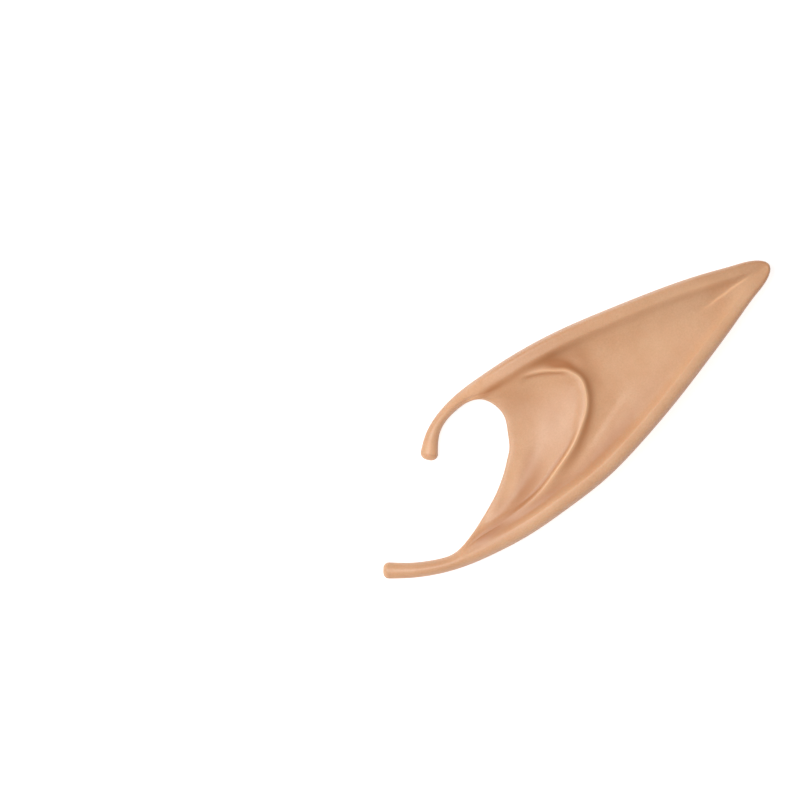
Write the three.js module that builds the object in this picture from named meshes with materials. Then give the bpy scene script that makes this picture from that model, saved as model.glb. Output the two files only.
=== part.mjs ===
// A slip-on elf ear tip of thin latex rubber, lying on its back with its modelled front up.
// Units are millimetres. +X runs along the ear to its tip, +Y to the hook's side, +Z up, and the
// origin lies on the surface that the ear rests on, under the middle of its outline.
// The ear is one hollow skin. Sections stand across its rim one after the other, from the end of the
// hook over the upper edge, round the tip and along the lower edge to the end of the tail. Each
// section runs from the outline over the front to the C-shaped cut, back through the pocket, and
// home over the back.
import * as THREE from 'three';

// Driving sizes
const earLength = 169.4;
const earWidth = 54.2;
const earDepth = 22;
const wall = 1.5;
const hookWidth = 4.8;
const tailWidth = 5.2;
const cutReach = 31;
const rimWidth = 5;
const rimDrop = 5.5;
const ridgeHeight = 3.4;
const ridgeWidth = 1.7;
const dishDepth = 2.7;
const backRoll = 17;
const backSet = 1.6;

const halfLength = earLength / 2;
const halfWidth = earWidth / 2;

// Rows with named columns
function table(columns, rows) {
  return rows.map((row) => Object.fromEntries(columns.map((column, i) => [column, row[i]])));
}

// The outline from above: station is the way along it from hook end to tail end, along and across
// are shares of half the length and half the width.
const outlineRows = table(['station', 'along', 'across'], [
  [0, -0.588, 0.653],
  [0.017, -0.538, 0.782],
  [0.044, -0.449, 0.915],
  [0.073, -0.342, 0.985],
  [0.107, -0.213, 1],
  [0.152, -0.047, 0.982],
  [0.202, 0.142, 0.911],
  [0.26, 0.354, 0.775],
  [0.319, 0.567, 0.616],
  [0.371, 0.756, 0.446],
  [0.408, 0.885, 0.306],
  [0.43, 0.965, 0.2],
  [0.4375, 0.99, 0.136],
  [0.445, 1, 0.062],
  [0.4525, 0.99, -0.01],
  [0.46, 0.966, -0.066],
  [0.483, 0.885, -0.156],
  [0.519, 0.756, -0.292],
  [0.572, 0.567, -0.489],
  [0.632, 0.354, -0.694],
  [0.69, 0.142, -0.863],
  [0.742, -0.047, -0.97],
  [0.792, -0.236, -1],
  [0.843, -0.425, -0.997],
  [0.887, -0.592, -0.936],
  [0.926, -0.735, -0.838],
  [0.96, -0.853, -0.694],
  [0.984, -0.933, -0.557],
  [1, -0.99, -0.44],
]);

// The edge of the cut beside the two strands: wide is a share of the strand's width.
const hookRows = table(['station', 'wide'], [
  [0, 1.27],
  [0.017, 1.02],
  [0.044, 0.8],
  [0.073, 0.95],
]);
const tailRows = table(['station', 'wide'], [
  [0.926, 1.08],
  [0.96, 0.98],
  [0.984, 1.02],
  [1, 1.08],
]);
// The edge of the cut in the body: reach is a share of the cut's reach from the hook's end, and
// across a share of half the width less the hook's width.
const cutRows = table(['station', 'reach', 'across'], [
  [0.107, 0.89, 0.887],
  [0.13, 0.952, 0.74],
  [0.16, 0.974, 0.592],
  [0.202, 0.966, 0.475],
  [0.26, 0.94, 0.377],
  [0.34, 0.894, 0.251],
  [0.445, 0.82, 0.067],
  [0.55, 0.73, -0.056],
  [0.632, 0.648, -0.16],
  [0.7, 0.55, -0.266],
  [0.76, 0.402, -0.401],
  [0.82, 0.209, -0.535],
  [0.87, 0.002, -0.654],
  [0.905, -0.203, -0.744],
]);

// The ridge's crest from above: along and across are shares of half the length and half the width.
// On the hook and tail the ridge is flat: its strength is 0.
const ridgeRows = table(['station', 'along', 'across', 'strength'], [
  [0, -0.564, 0.574, 0],
  [0.044, -0.43, 0.845, 0],
  [0.073, -0.335, 0.893, 0],
  [0.107, -0.23, 0.786, 0],
  [0.13, -0.15, 0.748, 0.1],
  [0.15, -0.092, 0.715, 0.4],
  [0.177, -0.044, 0.666, 0.8],
  [0.209, -0.001, 0.606, 1],
  [0.255, 0.04, 0.524, 1],
  [0.3, 0.071, 0.461, 1],
  [0.352, 0.091, 0.379, 1],
  [0.4, 0.102, 0.298, 1],
  [0.445, 0.104, 0.215, 1],
  [0.48, 0.098, 0.137, 1],
  [0.515, 0.083, 0.028, 1],
  [0.572, 0.044, -0.126, 1],
  [0.621, 0.004, -0.224, 1],
  [0.69, -0.08, -0.389, 0.9],
  [0.749, -0.189, -0.523, 0.75],
  [0.79, -0.293, -0.627, 0.6],
  [0.831, -0.412, -0.67, 0.45],
  [0.868, -0.53, -0.675, 0.25],
  [0.895, -0.625, -0.664, 0.1],
  [0.926, -0.717, -0.68, 0],
  [1, -0.962, -0.39, 0],
]);

// Heights as shares of the depth: crest of the rim, middle (the outline's own height), foot (the
// underside), ridge (the ridge's crest) and lip (the front wall's edge at the cut). rim is a share
// of the rim's width, drop of the rim's drop and roll of the back's roll. open is 0 on the solid
// strands and 1 where the pocket is full.
const heightRows = table(
  ['station', 'crest', 'middle', 'foot', 'ridge', 'lip', 'rim', 'drop', 'roll', 'open'],
  [
    [0, 0.25, 0.125, 0, 0.2, 0.2, 0.5, 0.1, 0.15, 0],
    [0.017, 0.235, 0.13, 0.025, 0.2, 0.2, 0.45, 0.1, 0.15, 0],
    [0.044, 0.31, 0.185, 0.06, 0.25, 0.25, 0.4, 0.1, 0.15, 0],
    [0.073, 0.5, 0.27, 0.05, 0.42, 0.4, 0.5, 0.15, 0.22, 0.12],
    [0.107, 0.78, 0.39, 0.01, 0.68, 0.63, 0.8, 0.6, 0.42, 0.85],
    [0.145, 0.93, 0.45, 0, 0.78, 0.69, 1, 0.95, 0.7, 1],
    [0.202, 1, 0.48, 0, 0.86, 0.69, 0.98, 1, 1, 1],
    [0.26, 0.98, 0.46, 0, 0.89, 0.69, 0.92, 1, 0.95, 1],
    [0.319, 0.88, 0.42, 0, 0.9, 0.68, 0.88, 0.85, 0.8, 1],
    [0.371, 0.7, 0.35, 0, 0.9, 0.67, 0.9, 0.6, 0.55, 1],
    [0.408, 0.54, 0.27, 0, 0.9, 0.66, 0.65, 0.4, 0.3, 1],
    [0.445, 0.38, 0.18, 0, 0.9, 0.66, 0.27, 0.2, 0.2, 1],
    [0.483, 0.53, 0.26, 0, 0.9, 0.66, 0.55, 0.3, 0.3, 1],
    [0.519, 0.66, 0.325, 0, 0.89, 0.66, 0.78, 0.38, 0.5, 1],
    [0.572, 0.8, 0.39, 0, 0.88, 0.66, 0.82, 0.44, 0.75, 1],
    [0.632, 0.88, 0.435, 0, 0.86, 0.66, 0.88, 0.5, 0.95, 1],
    [0.69, 0.9, 0.45, 0, 0.84, 0.65, 0.95, 0.55, 1, 1],
    [0.742, 0.89, 0.44, 0, 0.81, 0.64, 1, 0.55, 0.9, 1],
    [0.792, 0.87, 0.42, 0, 0.75, 0.61, 1, 0.5, 0.7, 1],
    [0.843, 0.77, 0.38, 0, 0.65, 0.55, 0.95, 0.4, 0.45, 1],
    [0.887, 0.62, 0.31, 0.01, 0.53, 0.47, 0.8, 0.25, 0.3, 0.6],
    [0.926, 0.46, 0.24, 0.025, 0.38, 0.35, 0.55, 0.1, 0.22, 0.1],
    [0.96, 0.36, 0.195, 0.03, 0.3, 0.28, 0.45, 0.1, 0.15, 0],
    [0.984, 0.29, 0.155, 0.02, 0.25, 0.22, 0.45, 0.1, 0.15, 0],
    [1, 0.25, 0.125, 0, 0.2, 0.2, 0.5, 0.1, 0.15, 0],
  ],
);

// The bowl's floor: along is a share of half the length, height of the depth, and tilt is how much
// lower the floor lies at the upper edge and higher at the lower edge, as a share of the depth.
const bowlRows = table(['along', 'height', 'tilt'], [
  [-0.6, 0.62, 0],
  [-0.4, 0.68, -0.01],
  [-0.2, 0.73, -0.02],
  [0.1, 0.755, -0.02],
  [0.3, 0.745, -0.03],
  [0.5, 0.68, -0.03],
  [0.7, 0.56, -0.02],
  [0.85, 0.43, -0.01],
  [0.94, 0.38, 0],
  [1, 0.34, 0],
]);

const mix = (a, b, share) => a + (b - a) * share;
const ease = (share) => share * share * (3 - 2 * share);
const along = (from, direction, distance) => [
  from[0] + direction[0] * distance,
  from[1] + direction[1] * distance,
];
const between = (from, to, share) => [mix(from[0], to[0], share), mix(from[1], to[1], share)];
const distance = (a, b) => Math.hypot(b[0] - a[0], b[1] - a[1]);
const direction = (a, b) => {
  const length = distance(a, b);
  return [(b[0] - a[0]) / length, (b[1] - a[1]) / length];
};

// The span of rising knots that a place falls in
function spanOf(knots, at) {
  let span = 0;
  while (span < knots.length - 2 && at > knots[span + 1]) span += 1;
  return span;
}

// A natural cubic spline, for the curves seen from above
function spline(knots, values) {
  const last = knots.length - 1;
  const bend = new Array(last + 1).fill(0);
  const rest = new Array(last + 1).fill(0);
  for (let i = 1; i < last; i += 1) {
    const before = knots[i] - knots[i - 1];
    const after = knots[i + 1] - knots[i];
    const turn = (values[i + 1] - values[i]) / after - (values[i] - values[i - 1]) / before;
    const pivot = 2 * (before + after) + before * bend[i - 1];
    bend[i] = -after / pivot;
    rest[i] = (6 * turn - before * rest[i - 1]) / pivot;
  }
  const curl = new Array(last + 1).fill(0);
  for (let i = last - 1; i > 0; i -= 1) curl[i] = bend[i] * curl[i + 1] + rest[i];
  return (at) => {
    const i = spanOf(knots, at);
    const width = knots[i + 1] - knots[i];
    const b = (at - knots[i]) / width;
    const a = 1 - b;
    const pull = ((a ** 3 - a) * curl[i] + (b ** 3 - b) * curl[i + 1]) * (width * width) / 6;
    return a * values[i] + b * values[i + 1] + pull;
  };
}

// A cubic that never swings past its values, for heights and shares
function profile(knots, values) {
  const last = knots.length - 1;
  const width = (i) => knots[i + 1] - knots[i];
  const rise = (i) => (values[i + 1] - values[i]) / width(i);
  const slope = values.map((value, i) => {
    if (i === 0 || i === last || rise(i - 1) * rise(i) <= 0) return 0;
    const one = 2 * width(i) + width(i - 1);
    const two = width(i) + 2 * width(i - 1);
    return (one + two) / (one / rise(i - 1) + two / rise(i));
  });
  return (at) => {
    const i = spanOf(knots, at);
    const t = (at - knots[i]) / width(i);
    const s = 1 - t;
    const bulge = t * s * (slope[i] * s - slope[i + 1] * t) * width(i);
    return mix(values[i], values[i + 1], ease(t)) + bulge;
  };
}

const column = (rows, name, curve) => curve(rows.map((row) => row.station), rows.map((row) => row[name]));

const edgeAlong = column(outlineRows, 'along', spline);
const edgeAcross = column(outlineRows, 'across', spline);
const edge = (station) => [edgeAlong(station) * halfLength, edgeAcross(station) * halfWidth];

// The direction square to a plan curve, on its right-hand side
const smallStep = 1e-4;
function rightOf(curve, station) {
  const [dx, dy] = direction(curve(station - smallStep), curve(station + smallStep));
  return [dy, -dx];
}

const strandEdge = (rows, width) => rows.map((row) => ({
  station: row.station,
  point: along(edge(row.station), rightOf(edge, row.station), width * row.wide),
}));
const hookEndAlong = outlineRows[0].along * halfLength;
const cutPoints = [
  ...strandEdge(hookRows, hookWidth),
  ...cutRows.map((row) => ({
    station: row.station,
    point: [hookEndAlong + cutReach * row.reach, (halfWidth - hookWidth) * row.across],
  })),
  ...strandEdge(tailRows, tailWidth),
];
const cutKnots = cutPoints.map((row) => row.station);
const cutAlong = spline(cutKnots, cutPoints.map((row) => row.point[0]));
const cutAcross = spline(cutKnots, cutPoints.map((row) => row.point[1]));
const cut = (station) => [cutAlong(station), cutAcross(station)];

const ridgeStrength = column(ridgeRows, 'strength', profile);
const heights = Object.fromEntries(
  Object.keys(heightRows[0])
    .filter((name) => name !== 'station')
    .map((name) => [name, column(heightRows, name, profile)]),
);

const bowlKnots = bowlRows.map((row) => row.along);
const bowlHeight = profile(bowlKnots, bowlRows.map((row) => row.height));
const bowlTilt = profile(bowlKnots, bowlRows.map((row) => row.tilt));
function bowlFloor([x, y]) {
  const place = x / halfLength;
  return (bowlHeight(place) - bowlTilt(place) * (y / halfWidth)) * earDepth;
}

const rimFoot = (station) => along(edge(station), rightOf(edge, station), rimWidth * heights.rim(station));
const ridgeAlong = column(ridgeRows, 'along', spline);
const ridgeAcross = column(ridgeRows, 'across', spline);
const ridge = (station) => [ridgeAlong(station) * halfLength, ridgeAcross(station) * halfWidth];

// The distance from a plan point to a whole plan curve
const curveSteps = 240;
function farFrom(curve) {
  const points = Array.from({ length: curveSteps + 1 }, (_, i) => curve(i / curveSteps));
  return (plan) => {
    let nearest = Infinity;
    for (let i = 0; i < curveSteps; i += 1) {
      const [x, y] = points[i];
      const run = [points[i + 1][0] - x, points[i + 1][1] - y];
      const length = run[0] * run[0] + run[1] * run[1];
      const share = ((plan[0] - x) * run[0] + (plan[1] - y) * run[1]) / length;
      const near = along([x, y], run, Math.min(1, Math.max(0, share)));
      nearest = Math.min(nearest, distance(near, plan));
    }
    return nearest;
  };
}

// Where the lines of a section lie, as shares of the stretch that each list covers
const crestInset = 0.45;
const rimTurns = [0, 0.38, 0.72, 1];
const flankSteps = [0.5, 1];
const bowlSteps = [0, 0.14, 0.32, 0.54, 0.76, 0.92];
const grooveShare = 0.5;
const innerFootShare = 1.1;
const innerDrop = 0.35;
const dishSteps = [0.2, 0.45, 0.7, 0.9];
const backSteps = [0, 0.33, 0.66];
const backTurns = [1, 0.6, 0.28, 0.08];
const lipRound = 0.35;
const toeStart = 1.25;
const rimToe = 0.9;
const grooveToe = 2.6;
const bowlRoom = 8;
const rollStart = 0.5;
const quarter = Math.PI / 2;

// 1 at the start of a toe and 0 from its end on
const fade = (share) => (share < 1 ? (1 - share * share) ** 2 : 0);

const outwardOf = (station) => rightOf(ridge, station).map((value) => -value);
const ridgeReach = (station) => ridgeWidth * (0.15 + 0.85 * ridgeStrength(station));
const grooveOf = (station) => along(ridge(station), outwardOf(station), ridgeReach(station));
const farFromEdge = farFrom(edge);
const farFromFoot = farFrom(rimFoot);
const farFromGroove = farFrom(grooveOf);

// The front of a section, from the outline to the cut: points with heights
function frontOf(station) {
  const at = (name) => heights[name](station);
  const start = edge(station);
  const inward = rightOf(edge, station);
  const middle = at('middle') * earDepth;
  const crest = at('crest') * earDepth;
  const across = rimWidth * at('rim');
  const inset = across * crestInset;
  const footHeight = crest - rimDrop * at('drop');
  const strength = ridgeStrength(station);
  const ridgeTop = at('ridge') * earDepth;
  const lip = at('lip') * earDepth;
  const points = [];
  const put = (plan, height) => points.push([plan[0], plan[1], height]);
  rimTurns.forEach((turn) => {
    const angle = turn * quarter;
    put(along(start, inward, inset * (1 - Math.cos(angle))), mix(middle, crest, Math.sin(angle)));
  });
  flankSteps.forEach((step) => {
    put(along(start, inward, mix(inset, across, step)), mix(crest, footHeight, ease(step)));
  });
  const top = ridge(station);
  const outward = outwardOf(station);
  const reach = ridgeReach(station);
  const grooveHeight = ridgeTop - ridgeHeight * strength;
  const groove = grooveOf(station);
  const toe = along(start, inward, across * toeStart);
  const open = ease(Math.min(1, distance(toe, groove) / bowlRoom));
  bowlSteps.forEach((step) => {
    const plan = between(toe, groove, step);
    const nearRim = fade(farFromFoot(plan) / (across * rimToe));
    const nearGroove = fade(farFromGroove(plan) / (ridgeWidth * grooveToe));
    const level = mix(mix(footHeight, grooveHeight, step), bowlFloor(plan), open);
    put(plan, mix(mix(level, footHeight, nearRim), grooveHeight, nearGroove));
  });
  put(groove, grooveHeight);
  put(along(top, outward, reach * grooveShare), mix(grooveHeight, ridgeTop, grooveShare));
  put(top, ridgeTop);
  const inner = along(top, outward, -reach * innerFootShare);
  const innerHeight = ridgeTop - ridgeHeight * strength * innerDrop;
  put(inner, innerHeight);
  const end = cut(station);
  dishSteps.forEach((step) => {
    const sag = dishDepth * strength * 4 * step * (1 - step);
    put(between(inner, end, step), mix(innerHeight, lip, step) - sag);
  });
  put(along(end, direction(end, inner), wall * lipRound), lip);
  return points;
}

// The back of a section, from the cut to the outline: points with heights
function backOf(station) {
  const start = edge(station);
  const inward = rightOf(edge, station);
  const middle = heights.middle(station) * earDepth;
  const foot = heights.foot(station) * earDepth;
  const roll = backRoll * heights.roll(station);
  const toRidge = direction(cut(station), ridge(station));
  const end = along(cut(station), toRidge, backSet * heights.open(station));
  const mouth = along(end, toRidge, wall * lipRound);
  const turned = along(start, inward, roll * rollStart);
  const put = (plan) => {
    const rest = 1 - Math.min(1, farFromEdge(plan) / roll);
    return [...plan, mix(foot, middle, 1 - Math.sqrt(1 - rest * rest))];
  };
  const points = [
    ...backSteps.map((step) => put(between(mouth, turned, step))),
    ...backTurns.map((turn) => put(along(start, inward, roll * rollStart * turn))),
  ];
  return { points, end };
}

// The stations: a few between each two rows of the outline
const stationsPerRow = 3;
const stations = outlineRows.slice(0, -1).flatMap((row, i) => (
  Array.from({ length: stationsPerRow }, (_, step) => (
    mix(row.station, outlineRows[i + 1].station, step / stationsPerRow)
  ))
));
stations.push(1);

// Close points all over a skin of sections
const fineSteps = 4;
function closePoints(sections) {
  const shares = Array.from({ length: fineSteps }, (_, i) => i / fineSteps);
  const blend = (a, b, share) => a.map((value, axis) => mix(value, b[axis], share));
  return sections.slice(0, -1).flatMap((section, i) => (
    section.slice(0, -1).flatMap((point, line) => shares.flatMap((over) => {
      const near = blend(point, section[line + 1], over);
      const next = blend(sections[i + 1][line], sections[i + 1][line + 1], over);
      return shares.map((ahead) => blend(near, next, ahead));
    }))
  ));
}
const fronts = stations.map(frontOf);
const backs = stations.map(backOf);
const frontSkin = closePoints(fronts);
const backSkin = closePoints(backs.map((back, i) => [...back.points, fronts[i][0]]));

// The height of the inner skin at one plan point: one wall thickness from the nearest outer skin.
// way is -1 for the skin under the front and 1 for the skin over the back.
function offsetHeight(outer, plan, way) {
  let height = way * -Infinity;
  outer.forEach((point) => {
    const across = distance(point, plan);
    if (across >= wall) return;
    const level = point[2] + way * Math.sqrt(wall * wall - across * across);
    height = way < 0 ? Math.min(height, level) : Math.max(height, level);
  });
  return height;
}

// Which lines of the front and of the back the inner skin keeps below and above, counted from the
// ridge's inner foot, its groove and the rim's toe, and where its lines under the rim lie, as shares
// of the way from its deepest line to the bowl
const toeLine = rimTurns.length + flankSteps.length;
const grooveLine = toeLine + bowlSteps.length;
const ridgeLines = 3;
const innerFootLine = grooveLine + ridgeLines;
const underDish = [3, 1, 0];
const underGroove = [0, -2];
const underToe = [1, 0];
const underFront = [
  ...underDish.map((line) => innerFootLine + line),
  ...underGroove.map((line) => grooveLine + line),
  ...underToe.map((line) => toeLine + line),
];
const underRim = [0.5, 0.12];
const deepest = 1.1;
const overBack = [1, 2, backSteps.length];

// One section with the pocket open: the front, the front lip, the inner skin, the back lip, the back
function openSection(i) {
  const station = stations[i];
  const front = fronts[i];
  const back = backs[i];
  const lipTop = front[front.length - 1];
  const lipFoot = back.points[0];
  const deep = along(edge(station), rightOf(edge, station), wall * deepest);
  const under = (plan) => [plan[0], plan[1], offsetHeight(frontSkin, plan, -1)];
  const over = (plan) => [plan[0], plan[1], offsetHeight(backSkin, plan, 1)];
  const inside = [
    [lipTop[0], lipTop[1], lipTop[2] - wall],
    ...underFront.map((line) => under(front[line])),
    ...underRim.map((share) => under(between(deep, front[toeLine], share))),
    [...deep, front[0][2]],
    ...underRim.map((share) => over(between(deep, back.points[backSteps.length], share))).reverse(),
    ...overBack.map((line) => over(back.points[line])).reverse(),
    [lipFoot[0], lipFoot[1], lipFoot[2] + wall],
  ];
  const frontLip = [...cut(station), lipTop[2] - wall / 2];
  const backLip = [...back.end, lipFoot[2] + wall / 2];
  return { front, inside: [frontLip, ...inside, backLip], back: back.points };
}

// The same lines on a solid oval strand: each line has an angle, from the outline over the top
const mouthAngle = 150;
function strandSection(station, counts) {
  const start = edge(station);
  const end = cut(station);
  const middle = heights.middle(station) * earDepth;
  const crest = heights.crest(station) * earDepth;
  const foot = heights.foot(station) * earDepth;
  const angles = [];
  const spread = (from, to, count) => {
    for (let i = 1; i <= count; i += 1) angles.push(mix(from, to, i / count));
  };
  rimTurns.forEach((turn) => angles.push(turn * 90));
  spread(90, mouthAngle, counts.front - rimTurns.length);
  spread(mouthAngle, 360 - mouthAngle, counts.inside + 1);
  spread(360 - mouthAngle, 360, counts.back);
  angles.pop();
  return angles.map((degrees) => {
    const angle = (degrees / 90) * quarter;
    const plan = between(start, end, (1 - Math.cos(angle)) / 2);
    const level = Math.sin(angle) > 0 ? crest : foot;
    return [plan[0], plan[1], mix(middle, level, Math.abs(Math.sin(angle)))];
  });
}

function section(station, i) {
  const { front, inside, back } = openSection(i);
  const counts = { front: front.length, inside: inside.length, back: back.length };
  const solid = strandSection(station, counts);
  const open = heights.open(station);
  return [...front, ...inside, ...back].map((point, line) => (
    point.map((value, axis) => mix(solid[line][axis], value, open))
  ));
}
const sections = stations.map(section);

// Rounded ends: the last section shrinks to its middle while it moves outward. blunt is 1 for a
// round end and less for a flatter one.
const capRings = 4;
function cap(ring, station, way, blunt) {
  const ends = [edge(station), cut(station)];
  const plan = between(...ends, 0.5);
  const height = mix(heights.foot(station), heights.crest(station), 0.5) * earDepth;
  const centre = [...plan, height];
  const [dx, dy] = rightOf(edge, station);
  const axis = [-dy * way, dx * way, 0];
  const length = distance(...ends) / 2;
  const rings = [];
  for (let i = 1; i < capRings; i += 1) {
    const angle = (i / capRings) * quarter;
    const size = Math.cos(angle) ** blunt;
    const out = length * Math.sin(angle) * blunt;
    rings.push(ring.map((point) => point.map((value, k) => mix(centre[k], value, size) + axis[k] * out)));
  }
  const pole = centre.map((value, k) => value + axis[k] * length * blunt);
  return { rings, pole };
}

const hookBlunt = 1;
const tailBlunt = 0.7;
const hookCap = cap(sections[0], 0, -1, hookBlunt);
const tailCap = cap(sections[sections.length - 1], 1, 1, tailBlunt);
const rings = [...hookCap.rings.reverse(), ...sections, ...tailCap.rings];

// The closed skin: four-sided faces between neighbouring rings, and a fan at each end
function skin() {
  const lines = rings[0].length;
  const positions = [...rings.flat(2), ...hookCap.pole, ...tailCap.pole];
  const hookPole = rings.length * lines;
  const tailPole = hookPole + 1;
  const index = [];
  const at = (ring, line) => ring * lines + (line % lines);
  for (let line = 0; line < lines; line += 1) {
    index.push(hookPole, at(0, line + 1), at(0, line));
    index.push(tailPole, at(rings.length - 1, line), at(rings.length - 1, line + 1));
    for (let ring = 0; ring < rings.length - 1; ring += 1) {
      index.push(at(ring, line), at(ring, line + 1), at(ring + 1, line + 1));
      index.push(at(ring, line), at(ring + 1, line + 1), at(ring + 1, line));
    }
  }
  const geometry = new THREE.BufferGeometry();
  geometry.setAttribute('position', new THREE.Float32BufferAttribute(positions, 3));
  geometry.setIndex(index);
  geometry.computeBoundingBox();
  const { min, max } = geometry.boundingBox;
  geometry.translate(-(min.x + max.x) / 2, -(min.y + max.y) / 2, -min.z);
  geometry.computeVertexNormals();
  return geometry;
}

const latex = new THREE.MeshStandardMaterial({ color: '#dfac82', roughness: 0.55, metalness: 0 });
const earTip = new THREE.Mesh(skin(), latex);
earTip.name = 'ear_tip';

const ear = new THREE.Group();
ear.add(earTip);

export default ear;
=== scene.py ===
"""A slip-on elf ear tip of thin latex rubber, lying on its back on a white table.

The ear is one moulded skin, worked out on a grid of two parameters: the station, which runs along
the outline from the end of the hook over the upper edge, round the tip and along the lower edge to
the end of the tail, and the line, which runs across the rim over the front to the C-shaped cut,
back through the pocket and home over the back. Sizes in the shape are millimetres in the CAD's
frame: +X along the ear to its tip, +Y to the hook's side, +Z up out of the modelled front.
"""
import math

import bpy
import numpy as np
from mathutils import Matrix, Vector


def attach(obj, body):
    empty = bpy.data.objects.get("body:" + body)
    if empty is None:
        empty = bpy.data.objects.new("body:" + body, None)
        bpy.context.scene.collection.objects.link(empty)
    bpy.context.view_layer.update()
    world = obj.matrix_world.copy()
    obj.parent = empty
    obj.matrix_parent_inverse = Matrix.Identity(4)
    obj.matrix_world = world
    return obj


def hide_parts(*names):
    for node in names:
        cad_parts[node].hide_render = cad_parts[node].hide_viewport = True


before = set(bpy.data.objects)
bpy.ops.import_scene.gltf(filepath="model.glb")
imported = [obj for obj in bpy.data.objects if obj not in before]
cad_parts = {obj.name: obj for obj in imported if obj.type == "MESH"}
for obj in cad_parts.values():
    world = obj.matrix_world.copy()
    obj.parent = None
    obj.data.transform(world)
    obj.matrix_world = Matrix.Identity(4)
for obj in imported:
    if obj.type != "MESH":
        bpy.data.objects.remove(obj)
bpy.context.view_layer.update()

MM = 0.001

# Driving sizes, the same as the CAD's
EAR_LENGTH = 169.4
EAR_WIDTH = 54.2
EAR_DEPTH = 22.0
WALL = 1.5
HOOK_WIDTH = 4.8
TAIL_WIDTH = 5.2
CUT_REACH = 31.0
RIM_WIDTH = 5.0
DISH_DEPTH = 2.7
BACK_ROLL = 17.0
BACK_SET = 1.6
HALF_LENGTH = EAR_LENGTH / 2
HALF_WIDTH = EAR_WIDTH / 2

# The outline from above: station, then along and across as shares of half the length and width
OUTLINE = np.array([
    [0, -0.588, 0.653],
    [0.017, -0.538, 0.782],
    [0.044, -0.449, 0.915],
    [0.073, -0.342, 0.985],
    [0.107, -0.213, 1],
    [0.152, -0.047, 0.982],
    [0.202, 0.142, 0.911],
    [0.26, 0.354, 0.775],
    [0.319, 0.567, 0.616],
    [0.371, 0.756, 0.446],
    [0.408, 0.885, 0.306],
    [0.43, 0.965, 0.2],
    [0.4375, 0.99, 0.136],
    [0.445, 1, 0.062],
    [0.4525, 0.99, -0.01],
    [0.46, 0.966, -0.066],
    [0.483, 0.885, -0.156],
    [0.519, 0.756, -0.292],
    [0.572, 0.567, -0.489],
    [0.632, 0.354, -0.694],
    [0.69, 0.142, -0.863],
    [0.742, -0.047, -0.97],
    [0.792, -0.236, -1],
    [0.843, -0.425, -0.997],
    [0.887, -0.592, -0.936],
    [0.926, -0.735, -0.838],
    [0.96, -0.853, -0.694],
    [0.984, -0.933, -0.557],
    [1, -0.99, -0.44],
])

# The edge of the cut beside the two strands: station, and a share of the strand's width
HOOK_STRAND = np.array([[0, 1.27], [0.017, 1.02], [0.044, 0.8], [0.073, 0.95]])
TAIL_STRAND = np.array([[0.926, 1.08], [0.96, 0.98], [0.984, 1.02], [1, 1.08]])
# The edge of the cut in the body: station, a share of the cut's reach from the hook's end, and a
# share of half the width less the hook's width
CUT = np.array([
    [0.107, 0.89, 0.887],
    [0.13, 0.952, 0.74],
    [0.16, 0.974, 0.592],
    [0.202, 0.966, 0.475],
    [0.26, 0.94, 0.377],
    [0.34, 0.894, 0.251],
    [0.445, 0.82, 0.067],
    [0.55, 0.73, -0.056],
    [0.632, 0.648, -0.16],
    [0.7, 0.55, -0.266],
    [0.76, 0.402, -0.401],
    [0.82, 0.209, -0.535],
    [0.87, 0.002, -0.654],
    [0.905, -0.203, -0.744],
])

# The ridge's crest from above: station, along and across as shares of half the length and width,
# and the ridge's strength
RIDGE = np.array([
    [0, -0.564, 0.574, 0],
    [0.044, -0.43, 0.845, 0],
    [0.073, -0.335, 0.893, 0],
    [0.107, -0.23, 0.786, 0],
    [0.13, -0.15, 0.748, 0.1],
    [0.15, -0.092, 0.715, 0.4],
    [0.177, -0.044, 0.666, 0.8],
    [0.209, -0.001, 0.606, 1],
    [0.255, 0.04, 0.524, 1],
    [0.3, 0.071, 0.461, 1],
    [0.352, 0.091, 0.379, 1],
    [0.4, 0.102, 0.298, 1],
    [0.445, 0.104, 0.215, 1],
    [0.48, 0.098, 0.137, 1],
    [0.515, 0.083, 0.028, 1],
    [0.572, 0.044, -0.126, 1],
    [0.621, 0.004, -0.224, 1],
    [0.69, -0.08, -0.389, 0.9],
    [0.749, -0.189, -0.523, 0.75],
    [0.79, -0.293, -0.627, 0.6],
    [0.831, -0.412, -0.67, 0.45],
    [0.868, -0.53, -0.675, 0.25],
    [0.895, -0.625, -0.664, 0.1],
    [0.926, -0.717, -0.68, 0],
    [1, -0.962, -0.39, 0],
])

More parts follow.
